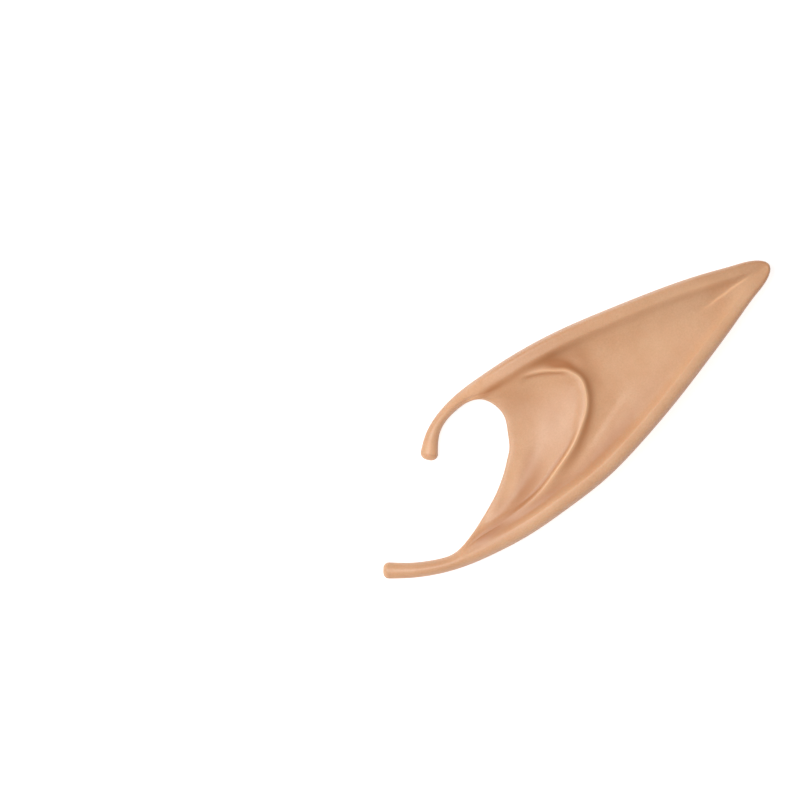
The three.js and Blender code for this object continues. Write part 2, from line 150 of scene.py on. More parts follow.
# Heights as shares of the depth: crest of the rim, middle (the outline's own height), foot (the
# underside), ridge and lip; then shares of the rim's width and of the back's roll, and open, which
# is 0 on the solid strands and 1 where the pocket is full
HEIGHT_NAMES = ["crest", "middle", "foot", "ridge", "lip", "rim", "roll", "open"]
HEIGHTS = np.array([
    [0, 0.25, 0.125, 0, 0.2, 0.2, 0.5, 0.15, 0],
    [0.017, 0.235, 0.13, 0.025, 0.2, 0.2, 0.45, 0.15, 0],
    [0.044, 0.31, 0.185, 0.06, 0.25, 0.25, 0.4, 0.15, 0],
    [0.073, 0.5, 0.27, 0.05, 0.42, 0.4, 0.5, 0.22, 0.12],
    [0.107, 0.78, 0.39, 0.01, 0.68, 0.63, 0.8, 0.42, 0.85],
    [0.145, 0.93, 0.45, 0, 0.78, 0.69, 1, 0.7, 1],
    [0.202, 1, 0.48, 0, 0.86, 0.69, 0.98, 1, 1],
    [0.26, 0.98, 0.46, 0, 0.89, 0.69, 0.92, 0.95, 1],
    [0.319, 0.88, 0.42, 0, 0.9, 0.68, 0.88, 0.8, 1],
    [0.371, 0.7, 0.35, 0, 0.9, 0.67, 0.9, 0.55, 1],
    [0.408, 0.54, 0.27, 0, 0.9, 0.66, 0.65, 0.3, 1],
    [0.445, 0.38, 0.18, 0, 0.9, 0.66, 0.27, 0.2, 1],
    [0.483, 0.53, 0.26, 0, 0.9, 0.66, 0.55, 0.3, 1],
    [0.519, 0.66, 0.325, 0, 0.89, 0.66, 0.78, 0.5, 1],
    [0.572, 0.8, 0.39, 0, 0.88, 0.66, 0.82, 0.75, 1],
    [0.632, 0.88, 0.435, 0, 0.86, 0.66, 0.88, 0.95, 1],
    [0.69, 0.9, 0.45, 0, 0.84, 0.65, 0.95, 1, 1],
    [0.742, 0.89, 0.44, 0, 0.81, 0.64, 1, 0.9, 1],
    [0.792, 0.87, 0.42, 0, 0.75, 0.61, 1, 0.7, 1],
    [0.843, 0.77, 0.38, 0, 0.65, 0.55, 0.95, 0.45, 1],
    [0.887, 0.62, 0.31, 0.01, 0.53, 0.47, 0.8, 0.3, 0.6],
    [0.926, 0.46, 0.24, 0.025, 0.38, 0.35, 0.55, 0.22, 0.1],
    [0.96, 0.36, 0.195, 0.03, 0.3, 0.28, 0.45, 0.15, 0],
    [0.984, 0.29, 0.155, 0.02, 0.25, 0.22, 0.45, 0.15, 0],
    [1, 0.25, 0.125, 0, 0.2, 0.2, 0.5, 0.15, 0],
])

# The bowl's floor: the place along the ear as a share of half its length, the height, and the tilt
# that lowers it at the upper edge and lifts it at the lower edge, as shares of the depth
BOWL = np.array([
    [-0.6, 0.62, 0],
    [-0.4, 0.68, -0.01],
    [-0.2, 0.73, -0.02],
    [0.1, 0.755, -0.02],
    [0.3, 0.745, -0.03],
    [0.5, 0.68, -0.03],
    [0.7, 0.56, -0.02],
    [0.85, 0.43, -0.01],
    [0.94, 0.38, 0],
    [1, 0.34, 0],
])


def mix(a, b, share):
    return a + (b - a) * share


def ease(share):
    """3 s^2 - 2 s^3 for s held between 0 and 1."""
    share = np.clip(share, 0, 1)
    return share * share * (3 - 2 * share)


def fade(share):
    """(1 - s^2)^2 up to s = 1 and 0 beyond: 1 at the start of a toe, 0 from its end on."""
    return np.where(share < 1, (1 - share * share) ** 2, 0.0)


def span_of(knots, at):
    return np.clip(np.searchsorted(knots, at) - 1, 0, len(knots) - 2)


def spline(knots, values):
    """A natural cubic through the values: its bends m solve, at each inner knot,
    h0 m0 + 2 (h0 + h1) m1 + h1 m2 = 6 (slope after - slope before), and are 0 at both ends."""
    gap = np.diff(knots)[:, None]
    slope = np.diff(values, axis=0) / gap
    matrix = np.eye(len(knots))
    inner = np.arange(1, len(knots) - 1)
    matrix[inner, inner - 1] = gap[:-1, 0]
    matrix[inner, inner] = 2 * (gap[:-1, 0] + gap[1:, 0])
    matrix[inner, inner + 1] = gap[1:, 0]
    target = np.zeros_like(values)
    target[1:-1] = 6 * np.diff(slope, axis=0)
    bend = np.linalg.solve(matrix, target)

    def curve(at):
        i = span_of(knots, at)
        b = ((at - knots[i]) / gap[i, 0])[..., None]
        a = 1 - b
        pull = (a ** 3 - a) * bend[i] + (b ** 3 - b) * bend[i + 1]
        return a * values[i] + b * values[i + 1] + pull * gap[i] ** 2 / 6
    return curve


def profile(knots, values):
    """A cubic that never swings past its values: each inner slope is the weighted harmonic mean of
    the slopes on both sides, or 0 where they differ in sign."""
    gap = np.diff(knots)[:, None]
    rise = np.diff(values, axis=0) / gap
    before, after = rise[:-1], rise[1:]
    one, two = 2 * gap[1:] + gap[:-1], gap[1:] + 2 * gap[:-1]
    same = before * after > 0
    safe_before, safe_after = np.where(same, before, 1), np.where(same, after, 1)
    slope = np.zeros_like(values)
    slope[1:-1] = np.where(same, (one + two) / (one / safe_before + two / safe_after), 0)

    def curve(at):
        i = span_of(knots, at)
        t = ((at - knots[i]) / gap[i, 0])[..., None]
        s = 1 - t
        bulge = t * s * (slope[i] * s - slope[i + 1] * t) * gap[i]
        return mix(values[i], values[i + 1], ease(t)) + bulge
    return curve


def unit(vectors):
    return vectors / np.linalg.norm(vectors, axis=-1, keepdims=True)


def right_of(curve, station):
    """The direction square to a plan curve, on its right-hand side."""
    small = 1e-4
    ahead = unit(curve(station + small) - curve(station - small))
    return np.stack([ahead[..., 1], -ahead[..., 0]], axis=-1)


edge = spline(OUTLINE[:, 0], OUTLINE[:, 1:] * [HALF_LENGTH, HALF_WIDTH])
heights_at = profile(HEIGHTS[:, 0], HEIGHTS[:, 1:])
strength_at = profile(RIDGE[:, 0], RIDGE[:, 3:])


def strand_edge(rows, width):
    return edge(rows[:, 0]) + right_of(edge, rows[:, 0]) * (width * rows[:, 1:])


hook_start = OUTLINE[0, 1] * HALF_LENGTH
cut_body = np.stack([
    hook_start + CUT_REACH * CUT[:, 1],
    (HALF_WIDTH - HOOK_WIDTH) * CUT[:, 2],
], axis=-1)
cut = spline(
    np.concatenate([HOOK_STRAND[:, 0], CUT[:, 0], TAIL_STRAND[:, 0]]),
    np.concatenate([
        strand_edge(HOOK_STRAND, HOOK_WIDTH), cut_body, strand_edge(TAIL_STRAND, TAIL_WIDTH),
    ]),
)
ridge = spline(RIDGE[:, 0], RIDGE[:, 1:3] * [HALF_LENGTH, HALF_WIDTH])


def bowl_floor(plan):
    """The floor's height at its place along the ear, less the tilt times the share across."""
    rows = profile(BOWL[:, 0], BOWL[:, 1:])(plan[..., 0] / HALF_LENGTH)
    return (rows[..., 0] - rows[..., 1] * plan[..., 1] / HALF_WIDTH) * EAR_DEPTH


# Curves are searched as this many straight pieces, and points in groups, to save memory
CURVE_STEPS = 360
CHUNK = 4096
# The inside is worked out at every fourth section, from every second outer one up to so many
# sections away. Beyond one wall from an outer point, its hold falls off steeply.
SPARSE = 4
OUTER_SPARSE = 2
NEAR = 48
FRONT_PIECES = 2
BACK_PIECES = 10
STEEP = 4.0
# Keeps 1 / distance from growing without end on a line itself
LEAST = 0.01


def nearest_on(points, plan):
    """For each plan point, the distance to a line of points, which is negative on its right-hand
    side, and the share of the way along the line where it is nearest. The distance is the least one
    to the line's straight pieces."""
    start, run = points[:-1], np.diff(points, axis=0)
    length = (run ** 2).sum(axis=1)
    flat = plan.reshape(-1, 2)
    far, where = np.empty(len(flat)), np.empty(len(flat))
    for first in range(0, len(flat), CHUNK):
        part = flat[first:first + CHUNK, None] - start
        share = np.clip((part * run).sum(axis=2) / length, 0, 1)
        off = part - run * share[..., None]
        squared = (off ** 2).sum(axis=2)
        best = squared.argmin(axis=1)
        row = np.arange(len(best))
        turn = run[best, 0] * off[row, best, 1] - run[best, 1] * off[row, best, 0]
        far[first:first + CHUNK] = np.sqrt(squared[row, best]) * np.where(turn < 0, -1, 1)
        where[first:first + CHUNK] = (best + share[row, best]) / len(run)
    return far.reshape(plan.shape[:-1]), where.reshape(plan.shape[:-1])


def nearest(curve, plan):
    """The signed distance to a plan curve of the ear and the station where it is nearest."""
    return nearest_on(curve(np.linspace(0, 1, CURVE_STEPS + 1)), plan)


# Where a section's lines lie, and how its parts round off
ROLL_START = 0.5
DEEPEST = 1.1
MOUTH_ANGLE = 150.0
STATIONS = 500
RIM_LINES = 11
BAND_LINES = 16
BOWL_LINES = 44
BEAD_LINES = 14
DISH_LINES = 24
LIP_LINES = 4
UNDER_LINES = 9
BACK_LINES = 8
ROLL_LINES = 11
BAND_END = 1.35
# Powers that crowd the lines of the bowl towards the ridge and those of the roll towards the edge
BOWL_CROWDING = 1.7
ROLL_CROWDING = 0.7
LAST_UNDER = 0.95
# Where the sections stand closer together: station and how close
DENSITY = np.array([[0, 0.8], [0.1, 1], [0.35, 0.9], [0.4, 2], [0.48, 2], [0.55, 0.9], [1, 0.8]])

# The rim's section in millimetres from the outline: station, where the round shoulder ends, where
# the fall starts, the reach of its steep part, the reach of its gentle part, the steep part's share
FALL = np.array([
    [0, 0.8, 3.2, 1.5, 4, 0.5],
    [0.1, 1.4, 4.2, 1.8, 5, 0.4],
    [0.14, 2, 4.7, 2.2, 6, 0.15],
    [0.17, 2.1, 4.7, 2.2, 6.5, 0.2],
    [0.22, 2.2, 4.6, 2, 7, 0.35],
    [0.32, 2.2, 4, 2, 8, 0.3],
    [0.4, 1.8, 3.7, 1.8, 5.5, 0.4],
    [0.445, 1.1, 3.8, 2, 3.5, 0.5],
    [0.49, 2.2, 3.9, 1.6, 5, 0.4],
    [0.58, 4.4, 4.7, 1.4, 8, 0.5],
    [0.84, 4.4, 4.7, 1.4, 7, 0.5],
    [0.9, 2.2, 3.6, 1.5, 5, 0.4],
    [1, 0.8, 3.2, 1.5, 4, 0.5],
])
FALL_POWER = 1.8
SHOULDER = 3.2
BAND_SLOPE = 0.06
TIP = 0.445
# The ridge's section, in millimetres from its crest: an outer wall that is steepest at the crest,
# and inside it a bead with a fine groove on the two branches
WALL_REACH = 1.8
SLOPE_REACH = 5.5
WALL_SHARE = 0.6
WALL_POWER = 1.2
BEAD_WIDTH = 1.0
CREST_WIDTH = 3.6
BEAD_DROP = 0.08
BEAD_HEIGHT = 0.3
BEAD_GROOVE = 0.3
BEAD_GROOVE_AT = 1.2
BEAD_GROOVE_WIDTH = 0.9
EDGE_ROLL = 0.4
EDGE_ROLL_WIDTH = 2.4
VALLEY_ROUND = 0.14
VALLEY_SHIFT = 1.35
HALF_WAY = 0.5
# The strength times this is how far the ridge has risen out of the floor
RIDGE_RISE = 3
# The stations between which the dish lies
DISH_FROM = 0.08
DISH_TO = 0.93
# Where along the ridge the fine groove runs: station and share of its depth
BEAD = np.array([
    [0, 0], [0.14, 0], [0.17, 0.8], [0.24, 1], [0.3, 0.5], [0.36, 0], [0.58, 0], [0.66, 0.5],
    [0.76, 1], [0.82, 0.6], [0.875, 0], [1, 0],
])

# Soft hills and hollows on the front: middle, two half widths, turn in degrees, height, all in
# millimetres from above
HILLS = np.array([
    [6, 18, 12, 4, -25, -1.2],
    [-5, -18, 16, 4, 15, -1.0],
    [66, 3.2, 14, 2.5, -3, -0.6],
])

# The soft fold over the bowl, and the sharp one near the tip: lines from above in millimetres
FOLD = np.array([
    [-14, -17.8], [-8, -16], [-1, -13.7], [5, -11.4], [10, -9.5], [15, -7.6], [20, -5.6],
])
FOLD_STEP = 0.4
FOLD_WIDTH = 3.0
FOLD_TOE = 6.0
CREASE = np.array([[55, 2.3], [60, 2.1], [63, 2.4], [66, 2.2], [70, 2.5], [74, 2.3], [79, 2.3]])
CREASE_STEP = 0.75
CREASE_WIDTH = 0.9
CREASE_TOE = 7.0
# The shares of a fold's length over which it comes in and goes out
FOLD_IN = 0.3
FOLD_OUT = 0.2

# Painted shade and painted highlights on the front: dark where the ridge and the rims throw shade
# into the grooves and at the rim's foot, and light where crests and inner sides face the light. Their
# places and strengths are set so that the ear from above comes near the photograph. Along the ridge:
# station, the painted shade in the groove outside it, the painted highlight on its crest, the
# millimetres from the crest to the groove.
# Along the outline: station, the painted shade at the rim's foot, the painted highlight on the rim's
# inner side, the painted shade on its very edge
RIDGE_SHADE_AND_HIGHLIGHT = np.array([
    [0, 0, 0, 1.6],
    [0.13, 0, 0, 1.6],
    [0.17, 0.2, 0.2, 2],
    [0.22, 0.65, 0.7, 2],
    [0.26, 0.9, 0.7, 1.9],
    [0.3, 0.95, 0.8, 1.6],
    [0.35, 1, 0.9, 0.9],
    [0.45, 1, 1.1, 0.7],
    [0.55, 0.85, 1.1, 1],
    [0.62, 0.85, 1, 1.4],
    [0.7, 0.65, 1, 1.8],
    [0.75, 0.4, 1.1, 2.2],
    [0.79, 0.25, 0.4, 2.2],
    [0.84, 0.1, 0, 2.2],
    [1, 0, 0, 2],
])
RIM_SHADE_AND_HIGHLIGHT = np.array([
    [0, 0, 0, 0.3], [0.08, 0.2, 0, 0.3], [0.105, 0.9, 0, 0.3], [0.13, 0.55, 0, 0.3],
    [0.155, 0.5, 0, 0.3], [0.18, 0.65, 0, 0.3], [0.2, 0.3, 0, 0.3], [0.24, 0.1, 0, 0.3],
    [0.3, 0.15, 0.15, 0.35], [0.35, 0.3, 0.15, 0.4], [0.4, 0.25, 0, 0.5], [0.43, 0, 0, 0.6],
    [0.5, 0, 0.3, 1.3], [0.68, 0, 0.3, 1.2], [0.8, 0, 0.35, 0.9], [0.9, 0, 0, 0.5], [1, 0, 0, 0.3],
])
# Reaches and offsets in millimetres of the painted shade and painted highlights, and the strength of
# the painted shade in the bead's fine groove
GROOVE_REACH = 1.9
CREST_REACH = 0.7
BEAD_SHADE = 0.7
BEAD_SHADE_REACH = 0.8
FOOT_AT = 1.5
FOOT_REACH = 1.5
INNER_BEFORE = 1.0
EDGE_REACH = 1.1
CREASE_REACH = 0.45
# Soft patches of painted shade, and in the second table of painted light, put where the ear came out
# lighter or darker than in the photograph: middle, two half widths, turn in degrees, strength
SHADE_PATCHES = np.array([
    [-42, -19.2, 13, 2.2, -4, 0.5],
    [12, 14.5, 6, 3.5, -40, 0.4],
    [13, 6.5, 7, 2.2, 85, 0.4],
    [-20, -19.8, 14, 2, 3, 0.65],
    [-13, 12.5, 8, 6, -50, 0.42],
    [-37, -15.3, 11, 2.6, 13, 0.6],
    [-25, -8.5, 9, 1.8, 40, 0.35],
    [-25, -12.5, 9, 3, 28, 0.55],
    [-19.5, -6.5, 6, 2.6, 45, 0.3],
    [-8, -1, 8, 3.5, 50, 0.32],
    [5.5, 17.2, 3.6, 2.2, -25, 0.4],
    [-50, -18, 8, 3, -12, 0.42],
    [4.5, 5, 9, 2.6, 75, 0.25],
    [-7, -7.5, 9, 2, 36, 0.2],
    [3, -17, 12, 2.6, 13, 0.7],
    [20, -12, 13, 3.5, 16, 0.28],
    [1, 24, 14, 2.2, -8, 0.32],
    [-71, -13, 12, 3, -42, 0.42],
])
HIGHLIGHT_PATCHES = np.array([
    [36, 1, 16, 7, 4, 0.25],
    [66, -5, 18, 2, 17, 0.2],
    [-29, -7, 9, 1.6, 40, 0.35],
    [-46, 15.5, 3, 3, 0, 0.6],
    [62, 8.5, 10, 1.4, -17, 0.35],
])


def lines(count, last=True):
    """Shares from above 0 to 1, or to just under 1."""
    shares = np.linspace(0, 1, count + (1 if last else 2))[1:]
    return shares if last else shares[:-1]


def section_values(station):
    """The heights in millimetres, and the shares, at each station."""
    values = dict(zip(HEIGHT_NAMES, np.moveaxis(heights_at(station), -1, 0)))
    for name in ("crest", "middle", "foot", "ridge", "lip"):
        values[name] = values[name] * EAR_DEPTH
    values["strength"] = strength_at(station)[..., 0]
    values["across"] = RIM_WIDTH * values["rim"]
    return values


def spread(start, end, shares):
    """Points on the straight ways from start to end: (stations, shares, 2)."""
    return mix(start[:, None], end[:, None], shares[None, :, None])


def mounds(plan, rows):
    """The sum of height exp(-(u^2 + v^2)), with u and v the turned distances in half widths."""
    total = np.zeros(plan.shape[:-1])
    for x, y, wide, narrow, turn, height in rows:
        angle = math.radians(turn)
        off_x, off_y = plan[..., 0] - x, plan[..., 1] - y
        u = (off_x * math.cos(angle) + off_y * math.sin(angle)) / wide
        v = (off_y * math.cos(angle) - off_x * math.sin(angle)) / narrow
        total += height * np.exp(-(u * u + v * v))
    return total


def come_and_go(where):
    """From 0 at a fold's start to 1, and back to 0 at its end."""
    return ease(where / FOLD_IN) * ease((1 - where) / FOLD_OUT)


def folds(plan):
    """A soft fold and a sharp one: the floor drops on the upper side of each line and comes back
    over a toe, and each fades towards its ends."""
    total = np.zeros(plan.shape[:-1])
    for line, step, width, toe in (
        (FOLD, FOLD_STEP, FOLD_WIDTH, FOLD_TOE), (CREASE, CREASE_STEP, CREASE_WIDTH, CREASE_TOE),
    ):
        off, where = nearest_on(line, plan)
        total -= step * ease(off / width + 0.5) * fade(np.abs(off) / toe) * come_and_go(where)
    return total


def double_fall(distance, steep, gentle, share, power):
    """From 1 to 0 as the mean of two falls exp(-(distance / reach)^power), weighted by the share of
    the steep one."""
    return mix(np.exp(-(distance / gentle) ** power), np.exp(-(distance / steep) ** power), share)


def bowl(plan):
    """The floor with its hills and folds."""
    return bowl_floor(plan) + mounds(plan, HILLS) + folds(plan)


def ridge_level(station, floor):
    """The ridge's height where it stands out, and the floor's where it dies away."""
    v = section_values(station)
    return mix(floor, v["ridge"], np.clip(v["strength"] * RIDGE_RISE, 0, 1))


def bowl_side(plan):
    """The bowl, and the ridge's outer wall, a double fall, over it."""
    off, where = nearest(ridge, plan)
    height = bowl(plan)
    share = double_fall(np.abs(off), WALL_REACH, SLOPE_REACH, WALL_SHARE, WALL_POWER)
    return mix(height, ridge_level(where, height), share)


bead_at = profile(BEAD[:, 0], BEAD[:, 1:])


def dish_side(plan):
    """Between the ridge and the cut each height is the mean of the heights along both, weighted by
    1 / distance^2, less a valley half way with straight sides and a round floor. The ridge ends in
    a bead with a fine groove inside it, and the cut's edge rolls down."""
    station = np.linspace(DISH_FROM, DISH_TO, CURVE_STEPS)
    v = section_values(station)
    points = np.concatenate([ridge(station), cut(station)])
    drop = BEAD_DROP * v["strength"] + BEAD_HEIGHT * bead_at(station)[:, 0]
    levels = np.concatenate([ridge_level(station, bowl(ridge(station))) - drop, v["lip"]])
    ones = np.ones_like(station)
    length = np.concatenate([
        np.linalg.norm(np.gradient(line, axis=0), axis=1) for line in np.split(points, 2)
    ])
    on_ridge = np.concatenate([ones, 0 * ones])
    strengths = np.concatenate([v["strength"], v["strength"]])
    flat = plan.reshape(-1, 2)
    mean, share, power = np.empty(len(flat)), np.empty(len(flat)), np.empty(len(flat))
    for first in range(0, len(flat), CHUNK):
        off = flat[first:first + CHUNK, None] - points
        weight = length / ((off ** 2).sum(axis=2) + LEAST)
        weight /= weight.sum(axis=1, keepdims=True)
        mean[first:first + CHUNK] = weight @ levels
        share[first:first + CHUNK] = weight @ on_ridge
        power[first:first + CHUNK] = weight @ strengths
    mean, share, power = (a.reshape(plan.shape[:-1]) for a in (mean, share, power))
    ends = math.hypot(HALF_WAY, VALLEY_ROUND)
    eased = share ** VALLEY_SHIFT
    valley = (ends - np.hypot(eased - HALF_WAY, VALLEY_ROUND)) / (ends - VALLEY_ROUND)
    height = mean - DISH_DEPTH * power ** 2 * valley
    off, where = nearest(ridge, plan)
    off, bead = np.abs(off), bead_at(where)[..., 0]
    crest = ridge_level(where, bowl(plan))
    ring = (off - BEAD_GROOVE_AT) / BEAD_GROOVE_WIDTH
    height = mix(height, crest, ease(1 - off / mix(CREST_WIDTH, BEAD_WIDTH, bead)))
    height -= BEAD_GROOVE * bead * fade(np.abs(ring))
    off, _ = nearest(cut, plan)
    return height - EDGE_ROLL * np.clip(1 - np.abs(off) / EDGE_ROLL_WIDTH, 0, 1) ** 2


fall_at = profile(FALL[:, 0], FALL[:, 1:])


def rim_half(points, first, last, plan):
    """One half of the rim: the distance to the outline, the height of the rim's top, and its share
    in the surface's height, which is 1 over the band and a double fall beyond it."""
    off, where = nearest_on(points, plan)
    station = mix(first, last, where)
    inset, start, steep, gentle, share = np.moveaxis(fall_at(station), -1, 0)
    top = section_values(station)["crest"] - BAND_SLOPE * np.clip(np.abs(off) - inset, 0, None)
    beyond = np.clip(np.abs(off) - start, 0, None)
    return off, top, double_fall(beyond, steep, gentle, share, FALL_POWER)


def with_rim(plan, height):
    """The rim over the floor. Its two halves have the shares a and b in the height: the floor keeps
    (1 - a) (1 - b), and the two tops are weighted by 1 / distance^4."""
    tops, shares, weights = [], [], []
    for first, last in ((0, TIP), (TIP, 1)):
        points = edge(np.linspace(first, last, CURVE_STEPS // 2 + 1))
        off, top, share = rim_half(points, first, last, plan)
        tops.append(top)
        shares.append(share)
        weights.append(1 / (off ** 4 + LEAST))
    top = (tops[0] * weights[0] + tops[1] * weights[1]) / (weights[0] + weights[1])
    return mix(top, height, (1 - shares[0]) * (1 - shares[1]))


def front_skin(station):
    """The front of each section, from the outline to the cut: a round shoulder with
    across^n + up^n = 1, band, bowl, ridge and dish."""
    v = section_values(station)
    start, inward = edge(station), right_of(edge, station)
    inset = fall_at(station)[:, 0]
    angle = np.linspace(0, 90, RIM_LINES) * math.pi / 180
    across = 1 - np.clip(np.cos(angle), 0, None) ** (2 / SHOULDER)
    up = np.sin(angle) ** (2 / SHOULDER)
    rim_plan = start[:, None] + inward[:, None] * (inset[:, None] * across)[..., None]
    rim_height = mix(v["middle"][:, None], v["crest"][:, None], up)
    band_start = start + inward * inset[:, None]
    band_end = start + inward * (v["across"] * BAND_END)[:, None]
    top = ridge(station)
    bowl_plan = np.concatenate([
        spread(band_start, band_end, lines(BAND_LINES)),
        spread(band_end, top, 1 - (1 - lines(BOWL_LINES)) ** BOWL_CROWDING),
    ], axis=1)
    end = cut(station)
    bead_end = top + unit(end - top) * (BEAD_GROOVE_AT + BEAD_GROOVE_WIDTH)
    lip_start = end + unit(top - end) * (WALL / 2)
    dish_plan = np.concatenate([
        spread(top, bead_end, lines(BEAD_LINES)),
        spread(bead_end, lip_start, lines(DISH_LINES)),
    ], axis=1)
    plan = np.concatenate([rim_plan, bowl_plan, dish_plan], axis=1)
    height = np.concatenate([
        rim_height,
        with_rim(bowl_plan, bowl_side(bowl_plan)),
        with_rim(dish_plan, dish_side(dish_plan)),
    ], axis=1)
    return np.concatenate([plan, height[..., None]], axis=-1)


def back_skin(station):
    """The back of each section, from the cut to the outline: flat, then a quarter-oval roll up to
    the outline's own height by how near the edge is."""
    v = section_values(station)
    start, inward = edge(station), right_of(edge, station)
    roll = BACK_ROLL * v["roll"]
    to_ridge = unit(ridge(station) - cut(station))
    end = cut(station) + to_ridge * (BACK_SET * v["open"])[:, None]
    mouth = end + to_ridge * (WALL / 2)
    turned = start + inward * (roll * ROLL_START)[:, None]
    plan = np.concatenate([
        spread(mouth, turned, np.concatenate([[0], lines(BACK_LINES)])),
        spread(turned, start, lines(ROLL_LINES, last=False) ** ROLL_CROWDING),
    ], axis=1)
    to_edge, _ = nearest(edge, plan)
    rest = 1 - np.clip(np.abs(to_edge) / roll[:, None], 0, 1)
    height = mix(v["foot"][:, None], v["middle"][:, None], 1 - np.sqrt(1 - rest ** 2))
    return np.concatenate([plan, height[..., None]], axis=-1), end


def offset_height(outer, plan, way, pieces):
    """One wall from the nearest outer skin: the outer point's height, less or more by the third
    side of a right triangle whose long side is the wall and whose other side is the way across.
    It is worked out at every few sections, from the outer sections near them with the stretches
    between their lines cut into pieces, and straight between them."""
    shares = np.arange(pieces)[:, None] / pieces
    kept = outer[::OUTER_SPARSE]
    close = mix(kept[:, :-1, None], kept[:, 1:, None], shares).reshape(len(kept), -1, 3)
    sparse = np.unique(np.append(np.arange(0, len(plan), SPARSE), len(plan) - 1))
    found = np.empty((len(sparse), plan.shape[1]))
    for row, section in enumerate(sparse):
        first, last = max(0, section - NEAR) // OUTER_SPARSE, (section + NEAR) // OUTER_SPARSE
        near = close[first:last].reshape(-1, 3)
        squared = ((plan[section][:, None] - near[None, :, :2]) ** 2).sum(axis=2)
        inside = np.sqrt(np.clip(WALL ** 2 - squared, 0, None))
        outside = np.clip(np.sqrt(squared) - WALL, 0, None) * STEEP
        found[row] = (near[:, 2] * way + inside - outside).max(axis=1) * way
    after = np.clip(np.searchsorted(sparse, np.arange(len(plan))), 1, len(sparse) - 1)
    share = (np.arange(len(plan)) - sparse[after - 1]) / (sparse[after] - sparse[after - 1])
    return mix(found[after - 1], found[after], share[:, None])


ridge_shade_and_highlight_at = profile(RIDGE_SHADE_AND_HIGHLIGHT[:, 0], RIDGE_SHADE_AND_HIGHLIGHT[:, 1:])
rim_shade_and_highlight_at = profile(RIM_SHADE_AND_HIGHLIGHT[:, 0], RIM_SHADE_AND_HIGHLIGHT[:, 1:])


def bell(distance, reach):
    return np.exp(-(distance / reach) ** 2)


def painted_light(plan):
    """The painted shade and the painted highlights on the front, each a sum of bells over the
    distance
    from a line: the groove outside the ridge and its crest, the rim's foot and inner side, the very
    edge, the crease, and the soft patches."""
    off, where = nearest(ridge, plan)
    groove, crest, groove_at = np.moveaxis(ridge_shade_and_highlight_at(where), -1, 0)
    dark = groove * bell(off - groove_at, GROOVE_REACH) * ease(off / groove_at + 0.5)
    dark += BEAD_SHADE * bead_at(where)[..., 0] * bell(off + BEAD_GROOVE_AT, BEAD_SHADE_REACH)
    light = crest * bell(off, CREST_REACH) + mounds(plan, HIGHLIGHT_PATCHES)
    off, where = nearest(edge, plan)
    foot, inner, edge_shade = np.moveaxis(rim_shade_and_highlight_at(where), -1, 0)
    foot_at = fall_at(where)[..., 1] + FOOT_AT
    dark += foot * bell(np.abs(off) - foot_at, FOOT_REACH) + mounds(plan, SHADE_PATCHES)
    # Painted shade along the very edge of the outline
    dark += edge_shade * bell(off, EDGE_REACH)
    light += inner * bell(np.abs(off) - foot_at + INNER_BEFORE, FOOT_REACH)
    off, where = nearest_on(CREASE, plan)
    light += bell(off, CREASE_REACH) * come_and_go(where)
    return np.clip(dark, 0, 1), np.clip(light, 0, 1)


def whole_skin(station):
    """Every section's closed ring of points: (stations, lines, 3)."""
    v = section_values(station)
    front = front_skin(station)
    back, back_end = back_skin(station)
    end = cut(station)
    lip_top, lip_foot = front[:, -1], back[:, 0]

    turn = (90 - 180 * lines(LIP_LINES * 2, last=False)) * math.pi / 180

    def lip(tip, inside, height):
        """A half round of one wall's width from the inside over the tip."""
        plan = tip[:, None] + (inside - tip)[:, None] * (1 - np.cos(turn))[None, :, None]
        level = height[:, None] + WALL / 2 * np.sin(turn)
        return np.concatenate([plan, level[..., None]], axis=-1)

    front_lip = lip(end, lip_top[:, :2], lip_top[:, 2] - WALL / 2)
    back_lip = lip(back_end, lip_foot[:, :2], lip_foot[:, 2] + WALL / 2)
    deep = edge(station) + right_of(edge, station) * (WALL * DEEPEST)
    foot_plan = edge(station) + right_of(edge, station) * (v["across"] * BAND_END)[:, None]
    share = np.linspace(0, 1, UNDER_LINES)
    ridge_plan = ridge(station)
    under_plan = np.concatenate([
        spread(lip_top[:, :2], ridge_plan, share[:-1]),
        spread(ridge_plan, foot_plan, share[:-1]),
        spread(foot_plan, deep, share[:-1] * LAST_UNDER),
    ], axis=1)
    over_plan = np.concatenate([
        spread(deep, back[:, BACK_LINES, :2], lines(UNDER_LINES)),
        spread(back[:, BACK_LINES, :2], lip_foot[:, :2], lines(UNDER_LINES)),
    ], axis=1)
    outer_back = np.concatenate([back, front[:, :1]], axis=1)
    under_height = offset_height(front, under_plan, -1, FRONT_PIECES)
    over_height = offset_height(outer_back, over_plan, 1, BACK_PIECES)
    under = np.concatenate([under_plan, under_height[..., None]], axis=-1)
    over = np.concatenate([over_plan, over_height[..., None]], axis=-1)
    turn_point = np.concatenate([deep, front[:, 0, 2:]], axis=-1)[:, None]
    inside = np.concatenate([front_lip, under, turn_point, over, back_lip], axis=1)
    counts = front.shape[1], inside.shape[1], back.shape[1]
    opened = np.concatenate([front, inside, back], axis=1)
    solid = strand_skin(station, counts)
    return mix(solid, opened, v["open"][:, None, None]), counts


def strand_skin(station, counts):
    """The same lines on a solid oval strand: each line has an angle, from the outline over the top
    to the cut and home underneath. plan = middle way - cos, height = middle + sin."""
    v = section_values(station)
    front, inside, back = counts
    angle = np.concatenate([
        np.linspace(0, 90, RIM_LINES),
        mix(90, MOUTH_ANGLE, lines(front - RIM_LINES)),
        mix(MOUTH_ANGLE, 360 - MOUTH_ANGLE, lines(inside + 1)),
        mix(360 - MOUTH_ANGLE, 360, lines(back))[:-1],
    ]) * math.pi / 180
    plan = spread(edge(station), cut(station), (1 - np.cos(angle)) / 2)
    level = np.where(np.sin(angle) > 0, v["crest"][:, None], v["foot"][:, None])
    height = mix(v["middle"][:, None], level, np.abs(np.sin(angle)))
    return np.concatenate([plan, height[..., None]], axis=-1)


CAP_RINGS = 8
HOOK_BLUNT = 0.8
TAIL_BLUNT = 0.7


